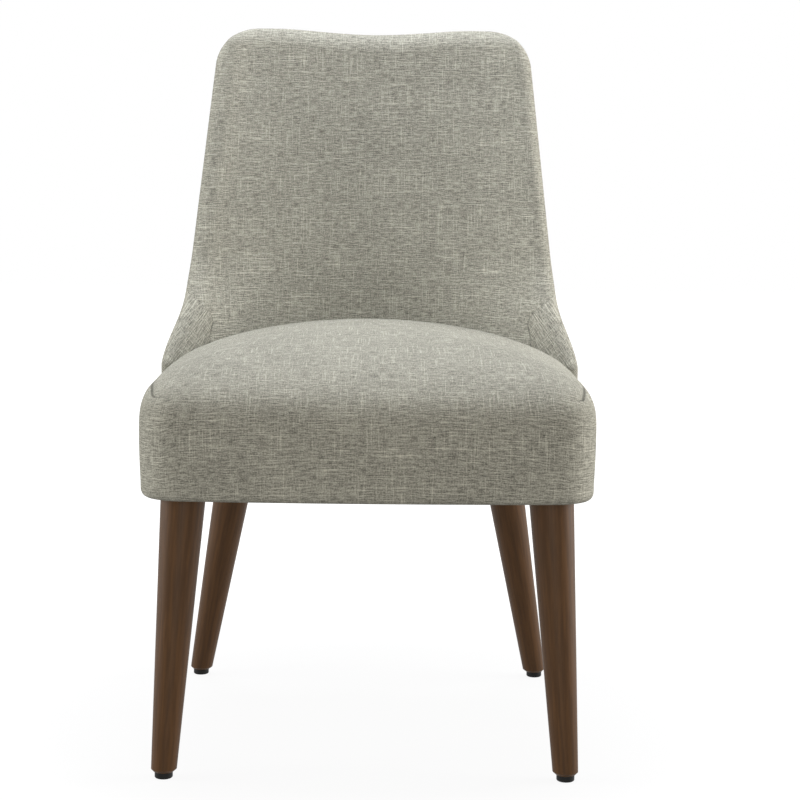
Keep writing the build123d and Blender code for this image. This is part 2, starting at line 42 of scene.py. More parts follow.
SEAT_WIDEST = 405.0  # height at which the seat is widest
SEAT_CROWN = 510.0
SEAT_HALF = 263.5
SEAT_FRONT = -310.0
CROWN_Y = 85.0  # the upright axis that the seat's dome is worked out about
CUSHION_END = 195.0  # rear end of the seat's sides
DOME_POWER = 1.8
SIDE_POWER = 3.5
FRONT_BOW = 12.0
SIDE_BOW = 6.0
FRONT_CORNER = 48.0
BASE_DRAW = 2.5  # how far the seat's walls draw in towards the hem

# Sizes of the back's form, given twice where the rim above the wings and the wings differ

TOP = 898.0
BACK_TOP_HALF = 212.5
SIDE_LEAN = math.tan(math.radians(5.1))
RECLINE = math.tan(math.radians(12.0))
RECLINE_START = 420.0
REAR_Y = 213.0
REAR_RADIUS = 520.0
LOW_CORNER, HIGH_CORNER = 120.0, 40.0  # radius of the outer corner, where the recline starts and at the top
WING_LOW, WING_HIGH = 458.0, 605.0  # the wings are whole up to the first height and end at the second
WING_POWER = 2.2
WING_FRONT = -5.0
WING_FLARE = 13.2  # how far the wings stand out beyond the line of the sides
FLARE_HIGH = 540.0
RIM_REACH = 27.0  # from the centre of the outer corner to the front of the rim
RIM_NOSE, WING_NOSE = 19.0, 12.0
RIM_FACE, WING_FACE = 38.0, 60.0  # from the outer side in to the corner of the facing
RIM_BEVEL, WING_BEVEL = 18.0, 45.0  # from the front back to the corner of the facing
FACING_SWELL = 3.0
THICK_AT_SEAT, THICK_AT_TOP = 70.0, 50.0

# Sizes of the back's cover, its seams and its edges

HEM_HEIGHT = 329.4  # underside of the covers, just over the dust cloth
BASE_EDGE = 12.0  # rounding of the covers' lower edge
HEM_TURN_SPREAD = 20.0  # the back's lower edge is rounded from the corner of the facing out over this length
RIM_EASING, WING_EASING = 14.0, 2.5  # length over which the corners of the section are eased
RIM_EASE = 1.7  # what that easing takes off the rim's reach
TIP_PAST_NOSE = 7.0  # from the end of the rim's nose to its outermost point
RIDGE = TOP + 3.5  # the top edge, high towards the corners
RIDGE_DIP = 6.5
RIDGE_SPREAD = 150.0  # half-width over which the top edge dips
EDGE_DEPTH = 30.0  # how far under the top the thickness of the top edge is taken
CORNER_RADIUS = 52.0  # rounding of the top corners
SWING_START, SWING_RISE, SWING_POWER = 508.0, 50.0, 1.5  # where the wing's seam swings out over the rim
SEAM_SETBACK = 16.0  # from the end of the rim's nose to the outer seam
WING_END = 560.0  # the wing's facing ends under this height
FACING_END = 1.6  # and in front of this place across
PANEL_DROP, PANEL_TURN = 22.0, 24.0  # outer panel: its depth under the top edge and its rounded corners
CLOSING_GROOVE, CLOSING_WIDTH = 1.4, 2.6
WING_GROOVE, WING_WIDTH = 1.3, 2.4
BACK_SWELL, BACK_SWELL_SPREAD = 2.0, 70.0  # fullness of the inner face, and how far from its sides it grows
BACK_SWELL_START, BACK_SWELL_RISE = 480.0, 120.0
BACK_HELD_LOW, BACK_HELD_TOP, BACK_HELD_FADE = 520.0, 90.0, 40.0  # held under a height and near the top edge
RIM_HELD, RIM_HELD_SPREAD = 1.6, 60.0  # held on the rim, for so many spreads from its middle

# Sizes of the seat's cover, its seams and where it meets the back

SIDE_SEAM = 458.0  # a short seam along each shoulder, from the wing to the front corner
SIDE_GROOVE, SIDE_WIDTH = 1.4, 3.0
SEAM_DIP, SEAM_DIP_Y, SEAM_DIP_RUN = 12.0, -235.0, 45.0  # the seam curves down from here forward
SEAM_END, SEAM_FADE = -292.0, 22.0
SHOULDER_X = 150.0  # the shoulders are farther out than this
LAP = 1.0  # how far the seat goes into the back
LAP_ROUND = 9.0  # rounding where the two meet
LAP_SINK, LAP_SINK_WIDTH = 5.0, 8.0  # how the seat's top sinks there
FACING_SHARE = 0.55  # share of the wing's facing that the seat's outline follows
OUTER_X, OUTER_STEP = 290.0, 12.0  # past it: how far out, and how far forward, a straight line goes
SEAT_HELD_HEM, SEAT_HELD_HEM_FADE = 350.0, 15.0
SEAT_HELD_LAP, SEAT_HELD_LAP_FADE = 30.0, 20.0
SEAT_HELD_SEAM = 9.0

# The seat's map: the top folds down over the front and over the sides, and the walls run round

FOLD_ANGLE, FOLD_FADE = -62.0, 14.0  # degrees, where the fold goes from the front to the sides
FRONT_FOLD = -298.0
WALL_START = -270.0  # behind this the walls end at the shoulder seam, in front they change into the top
WALL_TOP, WALL_FADE = 470.0, 45.0
UNDER_MAP = 180.0  # from the crown to the middle of the underside

# Sizes of the dust cloth

SHEET_HALF, SHEET_FRONT, SHEET_REAR = 236.0, 274.0, 182.0  # from the middle to its edges
SHEET_REAR_RADIUS = 490.0
SHEET_FRONT_CORNER, SHEET_REAR_CORNER = 40.0, 60.0
SHEET_HEIGHT = 328.7
SHEET_SAG = 2.2
SAG_HALF, SAG_HALF_FADE = 210.0, 120.0  # the sag ends at this half-width
SAG_REACH, SAG_REACH_FADE = 200.0, 80.0  # and at this distance from the middle

# Marks for points with no seam or facing near, and a reach where there is nothing to meet

NO_FACING = -50.0
NO_SEAM = 99.0
NO_LIMIT = 900.0

# Rows and columns of the surfaces

BACK_COLUMNS = 92  # from the inner middle to the tip of the rim, and as many again to the rear middle
COLUMN_POWER = 1.3  # draws the columns closer together at the tip
HEM_SHARE, WALL_SHARE = 0.03, 0.9  # shares of the rise where the dense rows end and the top edge starts
HEM_ROWS, WALL_ROWS, TOP_ROWS = 12, 160, 16
SEAT_COLUMNS = 520
FLOOR_ROWS = 12
TURN_ROWS = 6  # rounded lower edge of the seat
UPRIGHT_ROWS = 22
UNDER_ROWS = FLOOR_ROWS + TURN_ROWS + 2  # rows whose map follows their own length
DOME_ROWS = 111
MEAN_REACH = 330.0  # mean half-width of the dome, for its even rows
SHEET_COLUMNS, SHEET_ROWS = 360, 39

# Small helpers on arrays


def ease(x):
    """An S from 0 to 1: three times the square less twice the cube, flat outside that range."""
    x = np.clip(x, 0, 1)
    return x * x * (3 - 2 * x)


def soft_min(a, b, width):
    """The smaller of two distances, with the change from one to the other rounded over a width."""
    mix = np.clip(0.5 + (b - a) / (2 * width), 0, 1)
    return b + (a - b) * mix - width * mix * (1 - mix)


def bell(x, width):
    """A bump of height 1 about zero: the exponential of minus the square of x over its width."""
    return np.exp(-((x / width) ** 2))


def ray(dx, dy, start_y, centre, radius):
    """How far a ray from a point on the middle line goes to leave a circle: minus the part along it of the
    start's offset, plus the root of that part's square less the offset's square plus the radius's."""
    mx, my = -centre[0], start_y - centre[1]
    part = dx * mx + dy * my
    return -part + np.sqrt(np.maximum(part**2 - mx**2 - my**2 + radius**2, 0))


# Shape of the back


def back_plan(z):
    """Plan sizes of the back at heights z, as dictionary entries: half-width, rear, outer corner radius and
    its centre, front of the rim, nose radius, corner of the facing, inner middle and share of the wings."""
    share = (1 - np.clip((z - WING_LOW) / (WING_HIGH - WING_LOW), 0, 1)) ** WING_POWER
    flare = (1 + np.cos(np.pi * np.clip((z - WING_LOW) / (FLARE_HIGH - WING_LOW), 0, 1))) / 2
    half = BACK_TOP_HALF + (TOP - np.maximum(z, WING_LOW)) * SIDE_LEAN + WING_FLARE * flare
    above = np.maximum(z - RECLINE_START, 0)
    rear = REAR_Y + above * RECLINE
    corner = LOW_CORNER + (HIGH_CORNER - LOW_CORNER) * above / (TOP - RECLINE_START)
    centre_x = half - corner
    centre_y = rear - REAR_RADIUS + np.sqrt((REAR_RADIUS - corner) ** 2 - centre_x**2)
    rim_front = centre_y - RIM_REACH
    front = rim_front + (WING_FRONT - rim_front) * share
    nose = RIM_NOSE + (WING_NOSE - RIM_NOSE) * share
    seam_x = half - (RIM_FACE + (WING_FACE - RIM_FACE) * share)
    seam_y = front + RIM_BEVEL + (WING_BEVEL - RIM_BEVEL) * share
    thick = THICK_AT_SEAT + (THICK_AT_TOP - THICK_AT_SEAT) * (z - SEAT_CROWN) / (TOP - SEAT_CROWN)
    return dict(half=half, rear=rear, corner=corner, centre_x=centre_x, centre_y=centre_y, front=front,
                nose=nose, seam_x=seam_x, seam_y=seam_y, inner=rear - thick, share=share)


def back_lengths(b):
    """Arc lengths of the section's six stretches, from the inner middle round to the rear middle: inner
    arc, facing, nose quarter circle, straight side, corner arc, rear arc. Then the inner arc's radius and
    the angle at which the corner arc meets the rear arc."""
    sag = b["inner"] - b["seam_y"]
    radius = (b["seam_x"] ** 2 + sag**2) / (2 * sag)
    sweep = np.arctan2(b["seam_x"], radius - sag)
    end_x, end_y = b["half"] - b["nose"], b["front"]
    facing = np.hypot(end_x - b["seam_x"], b["seam_y"] - end_y)
    turn = np.arctan2(b["centre_y"] - b["rear"] + REAR_RADIUS, b["centre_x"])
    side = b["centre_y"] - b["front"] - b["nose"]
    lengths = [radius * sweep, facing, b["nose"] * np.pi / 2, side, b["corner"] * turn,
               REAR_RADIUS * (np.pi / 2 - turn)]
    return lengths, radius, turn


def raw_section(along, b):
    """The point at an arc length along the section, as x and y: arcs are a centre plus a radius times
    cosine and sine, and the facing is a straight line that swells by a parabola."""
    lengths, radius, turn = back_lengths(b)
    sign = np.sign(along + 1e-9)
    q = np.abs(along)
    ends = np.cumsum(np.stack(np.broadcast_arrays(*lengths)), axis=0)
    whole = ends[5]
    sign = np.where(q > whole, -sign, sign)
    q = np.where(q > whole, 2 * whole - q, q)
    end_x, end_y = b["half"] - b["nose"], b["front"]
    dx, dy = (end_x - b["seam_x"]) / lengths[1], (end_y - b["seam_y"]) / lengths[1]
    t = np.clip((q - ends[0]) / lengths[1], 0, 1)
    bulge = 4 * FACING_SWELL * t * (1 - t)
    inner_turn = q / radius
    nose_turn = (q - ends[1]) / b["nose"]
    corner_turn = (q - ends[3]) / b["corner"]
    rear_turn = turn + (q - ends[4]) / REAR_RADIUS
    stretch = [q < ends[0], q < ends[1], q < ends[2], q < ends[3], q < ends[4]]
    x = np.select(
        stretch,
        [radius * np.sin(inner_turn),
         b["seam_x"] + dx * lengths[1] * t + dy * bulge,
         end_x + b["nose"] * np.sin(nose_turn),
         b["half"] + 0 * q,
         b["centre_x"] + b["corner"] * np.cos(corner_turn)],
        REAR_RADIUS * np.cos(rear_turn))
    y = np.select(
        stretch,
        [b["inner"] - radius + radius * np.cos(inner_turn),
         b["seam_y"] + dy * lengths[1] * t - dx * bulge,
         end_y + b["nose"] * (1 - np.cos(nose_turn)),
         b["front"] + b["nose"] + q - ends[2],
         b["centre_y"] + b["corner"] * np.sin(corner_turn)],
        b["rear"] - REAR_RADIUS + REAR_RADIUS * np.sin(rear_turn))
    return sign * x, y


def section(along, z):
    """The section with its corners eased: the mean of the raw one over a bell of arc length, narrow on
    the wings, where a seam keeps the corner, and wide on the rim above them."""
    b = back_plan(z)
    spread = WING_EASING + (RIM_EASING - WING_EASING) * (1 - b["share"]) ** 3
    x, y, total = 0, 0, 0
    for step in np.linspace(-2, 2, 9):
        weight = math.exp(-step * step / 2)
        px, py = raw_section(along + step * spread, b)
        x, y, total = x + weight * px, y + weight * py, total + weight
    return x / total, y / total


def wing_seam(z, lengths):
    """Arc lengths of the wing's seam and of the outer seam. The wing's seam is on the corner of the section
    at the foot, then swings out over the rim, where it meets the outer seam."""
    swing = np.clip((z - SWING_START) / SWING_RISE, 0, 1) ** SWING_POWER
    corner = lengths[0]
    outer = lengths[0] + lengths[1] + lengths[2] + SEAM_SETBACK
    return corner + (outer - corner) * swing, outer


def rounded_corners(x, z):
    """The back's top corners made round. Across and up from a corner's centre, in radii, a point is drawn
    in by the root of one plus the square of their product: that turns a square corner into a quarter
    circle and leaves the rest as it is."""
    half = BACK_TOP_HALF - RIM_EASE + (TOP - z) * SIDE_LEAN
    across = np.maximum((np.abs(x) - half) / CORNER_RADIUS + 1, 0)
    rise = np.maximum((z - RIDGE) / CORNER_RADIUS + 1, 0)
    keep = 1 / np.sqrt(1 + (across * rise) ** 2)
    lower = z - CORNER_RADIUS * rise * (1 - keep)
    inward = CORNER_RADIUS * across * (1 - keep) - (z - lower) * SIDE_LEAN * np.minimum(across, 1)
    return x - np.sign(x) * inward, lower


def back_form(p, v):
    """The right half of the closed back. p runs across from the inner middle (0) over the tip of the rim
    (1) to the rear middle (2), v up from the hem (0). Each column rises along the section to the start of
    the top edge, which is a half circle from one face to the other about the line midway between them,
    and then the top corners are made round. Gives x, y, z, the arc length and the section's whole half
    length, the length rolled over the top edge, the height on the section and the depth under the ridge."""
    inside = p <= 1
    share = np.where(inside, p, 2 - p)

    def faces(z):
        lengths, _, _ = back_lengths(back_plan(z))
        tip = lengths[0] + lengths[1] + lengths[2] + TIP_PAST_NOSE
        whole = sum(lengths)
        return section(share * tip, z), section(whole - share * (whole - tip), z), tip, whole

    (ix, iy), (ox, oy), _, _ = faces(np.full_like(p, TOP - EDGE_DEPTH))
    thick = np.hypot(ix - ox, iy - oy) / 2
    across = np.abs(ix + ox) / 2
    ridge = RIDGE - RIDGE_DIP * (1 - ease(across / RIDGE_SPREAD))
    start = ridge - thick
    wall = np.clip(v / WALL_SHARE, 0, 1)
    turn = np.clip((v - WALL_SHARE) / (1 - WALL_SHARE), 0, 1) * np.pi / 2
    level = HEM_HEIGHT + (start - HEM_HEIGHT) * wall
    (ix, iy), (ox, oy), tip, whole = faces(level)
    fx, fy = np.where(inside, ix, ox), np.where(inside, iy, oy)
    mx, my = (ix + ox) / 2, (iy + oy) / 2
    x = mx + (fx - mx) * np.cos(turn)
    y = my + (fy - my) * np.cos(turn) + thick * np.sin(turn) * RECLINE
    along = np.where(inside, share * tip, whole - share * (whole - tip))
    drop = ridge - level - thick * np.sin(turn)
    x, z = rounded_corners(x, ridge - drop)
    return x, y, z, along, whole, thick * turn, level, drop


# Meshes


def to_mesh(name, points, faces, uv, marks):
    """A smooth mesh from points in millimetres, with a map called weave and a float mark on each point.
    Points that no face uses are left out."""
    used = np.unique(np.concatenate([f.reshape(-1) for f in faces]))
    renumber = np.full(len(points), -1)
    renumber[used] = np.arange(len(used))
    mesh = bpy.data.meshes.new(name)
    mesh.from_pydata((points[used] / 1000).tolist(), [], [c for f in faces for c in renumber[f].tolist()])
    corner = np.empty(len(mesh.loops), int)
    mesh.loops.foreach_get("vertex_index", corner)
    layer = mesh.uv_layers.new(name="weave")
    layer.data.foreach_set("uv", (uv[used][corner] / 1000).astype(np.float32).reshape(-1))
    for key, value in marks.items():
        data = mesh.attributes.new(key, "FLOAT", "POINT").data
        data.foreach_set("value", value[used].astype(np.float32))
    mesh.polygons.foreach_set("use_smooth", np.ones(len(mesh.polygons), bool))
    mesh.update()
    made = bpy.data.objects.new(name, mesh)
    bpy.context.scene.collection.objects.link(made)
    return made


def quads(index):
    """Faces between neighbouring rows and columns of an index grid, closed round its columns."""
    right = np.roll(index, -1, axis=1)
    return np.stack([index[:-1], right[:-1], right[1:], index[1:]], axis=-1).reshape(-1, 4)


def fan(row, centre):
    """Triangles from each pair of neighbours in a closed row of indices to one centre."""
    return np.stack([row, np.roll(row, -1), np.full(len(row), centre)], axis=-1)


def grid_normals(grid):
    """Unit normals of a grid that is closed round its columns: the cross product of its differences."""
    across = (np.roll(grid, -1, axis=1) - np.roll(grid, 1, axis=1)) / 2
    normal = np.cross(across, np.gradient(grid, axis=0))
    return normal / np.maximum(np.linalg.norm(normal, axis=2, keepdims=True), 1e-9)


# Cloth

CLOTH_STEP = 4  # the cloth has every fourth row and column
CLOTH_FRAMES = 20
CLOTH_CAP = 6.0  # the farthest that the cloth's way is taken
SPREAD_PASSES = 48
FULLNESS = 0.35  # share of the cloth's way that the cover takes


def swollen(grid, held):
    """How far filling swells a cover, in millimetres along its normals. A coarse copy of the grid is held
    at its seams and blown up as cloth, its way is capped and spread back over the grid, and the mean of
    it is taken off, so the cover keeps its size and only its fullness changes between the seams."""
    coarse, pins = grid[::CLOTH_STEP, ::CLOTH_STEP], held[::CLOTH_STEP, ::CLOTH_STEP]
    high, wide = pins.shape
    mesh = bpy.data.meshes.new("cover_cloth")
    mesh.from_pydata((coarse.reshape(-1, 3) / 1000).tolist(), [],
                     quads(np.arange(high * wide).reshape(high, wide)).tolist())
    cover = bpy.data.objects.new("cover_cloth", mesh)
    bpy.context.scene.collection.objects.link(cover)
    group = cover.vertex_groups.new(name="sewn")
    group.add(np.flatnonzero(pins.reshape(-1) > 0.5).tolist(), 1.0, "REPLACE")
    cloth = cover.modifiers.new("cloth", "CLOTH")
    cloth.settings.vertex_group_mass = "sewn"
    cloth.settings.mass = 0.4
    cloth.settings.tension_stiffness = 30
    cloth.settings.compression_stiffness = 30
    cloth.settings.bending_stiffness = 3
    cloth.settings.use_pressure = True
    cloth.settings.uniform_pressure_force = 4
    cloth.settings.effector_weights.gravity = 0
    cloth.point_cache.frame_start = 1
    cloth.point_cache.frame_end = CLOTH_FRAMES
    spots = np.empty(high * wide * 3, np.float32)
    for moment in range(1, CLOTH_FRAMES + 1):
        bpy.context.scene.frame_set(moment)
        shaped = cover.evaluated_get(bpy.context.evaluated_depsgraph_get())
        shaped.data.vertices.foreach_get("co", spots)
    bpy.context.scene.frame_set(1)
    bpy.data.objects.remove(cover)
    way = ((spots.reshape(high, wide, 3) * 1000 - coarse) * grid_normals(coarse)).sum(axis=2)
    way = np.clip(way, -CLOTH_CAP, CLOTH_CAP)
    way = np.repeat(np.repeat(way, CLOTH_STEP, axis=0), CLOTH_STEP, axis=1)
    way = way[:grid.shape[0], :grid.shape[1]]
    for _ in range(SPREAD_PASSES):
        sides = np.roll(way, 1, axis=1) + np.roll(way, -1, axis=1)
        ends = np.concatenate([way[:1], way[:-1]]) + np.concatenate([way[1:], way[-1:]])
        way = way / 2 + (sides + ends) / 8
    return (way - way[held < 0.5].mean()) * (1 - held) * FULLNESS


# The back


def mirrored(values, flip):
    """The right half of the back followed by its mirror image, without repeating the two middles."""
    return np.concatenate([values, values[:, -2:0:-1] * flip], axis=1)


def upholstered_back():
    """One closed padded form with its seams: back_form and its mirror image, moved along the normals by the
    inner face's fullness, the cloth's fullness, the seams' grooves and a quarter circle at the hem."""
    inner_p = 1 - (1 - np.linspace(0, 1, BACK_COLUMNS)) ** COLUMN_POWER
    half_p = np.concatenate([inner_p, 2 - inner_p[-2::-1]])
    hem_v = np.linspace(0, HEM_SHARE, HEM_ROWS)[:-1]
    wall_v = np.linspace(HEM_SHARE, WALL_SHARE, WALL_ROWS)
    top_v = np.linspace(WALL_SHARE, 1, TOP_ROWS)[1:]
    p, v = np.meshgrid(half_p, np.concatenate([hem_v, wall_v, top_v]))
    x, y, z, along, whole, rolled, level, drop = back_form(p, v)
    lengths = back_lengths(back_plan(level))[0]
    seam_at, closing_at = wing_seam(level, lengths)

    # Distances into the wing's facing and the outer panel, and from the seams round them
    on_wing = level < WING_END
    into_facing = np.minimum(along - seam_at, closing_at - along)
    facing = np.where(on_wing & (p < FACING_END), into_facing, NO_FACING)
    wing_line = np.where(on_wing, np.abs(along - seam_at), NO_SEAM)
    panel = np.where(p > 1, soft_min(along - closing_at, drop - PANEL_DROP, PANEL_TURN), NO_FACING)
    closing_line = np.abs(panel)

    # Moves along the normals
    swell = BACK_SWELL * ease((lengths[0] - along) / BACK_SWELL_SPREAD)
    swell = swell * ease((level - BACK_SWELL_START) / BACK_SWELL_RISE)
    groove = CLOSING_GROOVE * bell(closing_line, CLOSING_WIDTH) + WING_GROOVE * bell(wing_line, WING_WIDTH)
    near_hem = np.clip((HEM_HEIGHT + BASE_EDGE - level) / BASE_EDGE, 0, 1)
    hem_turn = BASE_EDGE * (1 - np.sqrt(1 - near_hem**2)) * ease((along - lengths[0]) / HEM_TURN_SPREAD)
    held_low = ease((BACK_HELD_LOW - level) / BACK_HELD_FADE)
    held_top = ease((BACK_HELD_TOP - drop) / BACK_HELD_FADE)
    held_rim = ease(RIM_HELD - np.abs(along - (seam_at + closing_at) / 2) / RIM_HELD_SPREAD)
    held = mirrored(np.maximum(np.maximum(held_low, held_top), held_rim), 1)
    grid = mirrored(np.stack([x, y, z], axis=-1), np.array([-1, 1, 1]))
    move = mirrored(swell - groove - hem_turn, 1) + swollen(grid, held)
    grid = grid + grid_normals(grid) * move[..., None]

    # The map unrolls the cover: arc length across, from the rear middle on the outer panel, and height
    flat = np.stack([np.where(panel > 0, whole - along, along), level + rolled], axis=-1)
    flat = mirrored(flat, np.array([-1, 1]))
    marks = {"facing": mirrored(facing, 1), "seam": mirrored(np.minimum(wing_line, closing_line), 1)}

    # The two faces share the top row, and the hem is closed from face to face
    rows, columns = held.shape
    partner = (2 * BACK_COLUMNS - 2 - np.arange(columns)) % columns  # the column opposite, on the other face
    index = np.arange(rows * columns).reshape(rows, columns)
    index[-1] = np.minimum(index[-1], index[-1][partner])
    inner = np.concatenate([np.arange(BACK_COLUMNS - 1), np.arange(columns - BACK_COLUMNS + 1, columns)])
    after = (inner + 1) % columns
    hem = np.stack([partner[inner], partner[after], after, inner], axis=-1)
    return to_mesh("upholstered_back", grid.reshape(-1, 3), [quads(index), hem], flat.reshape(-1, 2),
                   {key: value.reshape(-1) for key, value in marks.items()})


# The seat


def seat_reach(angle):
    """Distance from the crown's axis to the seat's outline: two flat arcs with a round corner between."""
    dx, dy = np.abs(np.cos(angle)), np.sin(angle)
    end, shoulder = SEAT_HALF - SIDE_BOW, SEAT_FRONT + FRONT_BOW
    front_radius = (end**2 + FRONT_BOW**2) / (2 * FRONT_BOW)
    reach = (CUSHION_END - shoulder) / 2
    side_radius = (reach**2 + SIDE_BOW**2) / (2 * SIDE_BOW)
    front = (0, SEAT_FRONT + front_radius)
    side = (SEAT_HALF - side_radius, (CUSHION_END + shoulder) / 2)
    cx, cy = end - FRONT_CORNER, shoulder + FRONT_CORNER
    for _ in range(6):
        cx = side[0] + math.sqrt((side_radius - FRONT_CORNER) ** 2 - (cy - side[1]) ** 2)
        cy = front[1] - math.sqrt((front_radius - FRONT_CORNER) ** 2 - cx**2)
    turns = []
    for centre in (front, side):
        lx, ly = cx - centre[0], cy - centre[1]
        grow = 1 + FRONT_CORNER / math.hypot(lx, ly)
        turns.append(math.atan2(centre[1] + ly * grow - CROWN_Y, centre[0] + lx * grow))
    low = np.arctan2(dy, dx)
    to_front = ray(dx, dy, CROWN_Y, front, front_radius)
    to_corner = ray(dx, dy, CROWN_Y, (cx, cy), FRONT_CORNER)
    to_side = ray(dx, dy, CROWN_Y, side, side_radius)
    return np.select([low < turns[0], low < turns[1]], [to_front, to_corner], to_side)


def back_reach(angle, heights):
    """Distance from the crown's axis to the back's inner face, one row for each height. Past the middle
    of the wing's facing it runs straight to the outer side, so the seat's shoulder meets the wing."""
    low = np.arctan2(np.sin(angle), np.abs(np.cos(angle)))
    points = 160
    reach = []
    for height in heights:
        lengths, _, _ = back_lengths(back_plan(np.array([height])))
        last = float(lengths[0][0] + FACING_SHARE * lengths[1][0])
        bx, by = section(np.linspace(0, last, points), np.full(points, height))
        bx, by = np.append(bx, OUTER_X), np.append(by, by[-1] - OUTER_STEP)
        turn = np.arctan2(by - CROWN_Y, bx)
        reach.append(np.interp(low, turn[::-1], np.hypot(bx, by - CROWN_Y)[::-1], left=NO_LIMIT))
    return np.array(reach)


def dome(turn):
    """Scale and height of the seat's top at an angle from its widest line (0) up to the crown: the angle's
    cosine to the power of two over DOME_POWER, and its sine to the power of two over SIDE_POWER."""
    height = SEAT_WIDEST + (SEAT_CROWN - SEAT_WIDEST) * np.sin(turn) ** (2 / SIDE_POWER)
    return np.cos(turn) ** (2 / DOME_POWER), height


def seat_rows():
    """Height, scale and tuck of each row of the seat: out over the underside, round a quarter circle, up a
    wall that draws in by a parabola towards the hem, and over the dome in steps of even length."""
    dense = np.linspace(0, np.pi / 2, 4000)
    dense_scale, dense_height = dome(dense)
    travel = np.append(0, np.cumsum(np.hypot(np.diff(dense_scale) * MEAN_REACH, np.diff(dense_height))))
    ring = np.interp(np.linspace(0, travel[-1], DOME_ROWS + 1)[:-1], travel, dense)
    dome_scale, dome_z = dome(ring)
    turn = np.linspace(0, np.pi / 2, TURN_ROWS)
    upright_z = np.linspace(HEM_HEIGHT + BASE_EDGE, SEAT_WIDEST, UPRIGHT_ROWS + 2)[1:-1]
    wall_z = np.concatenate([HEM_HEIGHT + BASE_EDGE * (1 - np.cos(turn)), upright_z])
    rise = np.clip((wall_z - HEM_HEIGHT - BASE_EDGE) / (SEAT_WIDEST - HEM_HEIGHT - BASE_EDGE), 0, 1)
    wall_tuck = BASE_DRAW * (1 - rise) ** 2
    wall_tuck[:TURN_ROWS] += BASE_EDGE * (1 - np.sin(turn))
    z = np.concatenate([np.full(FLOOR_ROWS, HEM_HEIGHT), wall_z, dome_z])
    scale = np.concatenate([np.linspace(0.1, 0.96, FLOOR_ROWS), np.ones(len(wall_z)), dome_scale])
    tuck = np.concatenate([np.full(FLOOR_ROWS, BASE_DRAW + BASE_EDGE), wall_tuck, np.zeros(len(ring))])
    return z, scale, tuck


def upholstered_seat():
    """One closed padded form about the crown's axis: each row is the outline less its tuck, times its
    scale, and stops at the back's inner face, with a rounded change. It is moved along the normals by the
    cloth's fullness and the shoulder seams' grooves."""
    row_z, row_scale, row_tuck = seat_rows()
    fine = np.linspace(-np.pi, np.pi, 1441)[:-1]
    outline = seat_reach(fine)
    perimeter = np.append(0, np.cumsum(np.hypot(np.diff(outline), outline[:-1] * np.diff(fine))))
    angle = np.interp(np.linspace(0, perimeter[-1], SEAT_COLUMNS + 1)[:-1], perimeter, fine)
    walk = np.interp(angle, fine, perimeter) - np.interp(-np.pi / 2, fine, perimeter)
    free = row_scale[:, None] * (seat_reach(angle)[None] - row_tuck[:, None])
    limit = back_reach(angle, row_z) + LAP
    limit[:FLOOR_ROWS] *= row_scale[:FLOOR_ROWS, None]
    reach = soft_min(free, limit, LAP_ROUND)
    room = limit - reach
    on_top = (row_z[:, None] > SEAT_WIDEST) & (limit < NO_LIMIT)
    sink = np.where(on_top, LAP_SINK * np.exp(-np.maximum(room, 0) / LAP_SINK_WIDTH), 0)
    x = reach * np.cos(angle)
    y = CROWN_Y + reach * np.sin(angle)
    z = row_z[:, None] - sink

    # The shoulder seam: its height, its strength and the distance from it
    outer = np.abs(x) > SHOULDER_X
    seam_z = SIDE_SEAM - SEAM_DIP * np.clip((SEAM_DIP_Y - y) / SEAM_DIP_RUN, 0, 1) ** 2
    sewn = ease((y - SEAM_END) / SEAM_FADE) * np.where(outer, 1, 0)
    seam_line = np.abs(z - seam_z)

    # Moves along the normals
    held_hem = ease((SEAT_HELD_HEM - z) / SEAT_HELD_HEM_FADE)
    held_lap = ease((SEAT_HELD_LAP - room) / SEAT_HELD_LAP_FADE)
    held_seam = bell(seam_line, SEAT_HELD_SEAM) * sewn
    held = np.maximum(held_hem, np.maximum(held_lap, held_seam))
    grid = np.stack([x, y, z], axis=-1)
    move = swollen(grid, held) - SIDE_GROOVE * bell(seam_line, SIDE_WIDTH) * sewn
    grid = grid + grid_normals(grid) * move[..., None]

    # The map
    drop = SEAT_CROWN - z
    low = np.degrees(np.arctan2(np.sin(angle), np.abs(np.cos(angle))))
    aside = ease((low - FOLD_ANGLE) / FOLD_FADE)[None]
    top_map = np.stack([x + np.sign(x) * drop * aside, y - drop * (1 - aside)], axis=-1)
    climb = np.cumsum(np.linalg.norm(np.diff(grid, axis=0, prepend=grid[:1]), axis=2), axis=0)
    wall_up = np.minimum(y, FRONT_FOLD) - drop
    wall_up[:UNDER_ROWS] = wall_up[UNDER_ROWS] + climb[:UNDER_ROWS] - climb[UNDER_ROWS]
    wall_map = np.stack([np.broadcast_to(walk[None], x.shape), wall_up], axis=-1)
    under_seam = np.where(z < seam_z, 1.0, 0.0)
    on_wall = np.where((y > WALL_START) & outer, under_seam, ease((WALL_TOP - z) / WALL_FADE))[..., None]
    flat = top_map + (wall_map - top_map) * on_wall

    # The marks, and a fan of faces at each end of the crown's axis
    rows, columns = x.shape
    low_end, high_end = rows * columns, rows * columns + 1
    index = np.arange(rows * columns).reshape(rows, columns)
    faces = [quads(index), fan(index[0], low_end)[:, ::-1], fan(index[-1], high_end)]
    points = np.vstack([grid.reshape(-1, 3), [[0, CROWN_Y, HEM_HEIGHT], [0, CROWN_Y, SEAT_CROWN]]])
    flat = np.vstack([flat.reshape(-1, 2), [[0, CROWN_Y - UNDER_MAP], [0, CROWN_Y]]])
    seam = ((z - seam_z) / np.maximum(sewn, 0.02)).reshape(-1)
    marks = {"facing": np.full(len(points), NO_FACING), "seam": np.append(seam, [seam[0], NO_SEAM])}
    return to_mesh("upholstered_seat", points, faces, flat, marks)


# The dust cloth under the seat


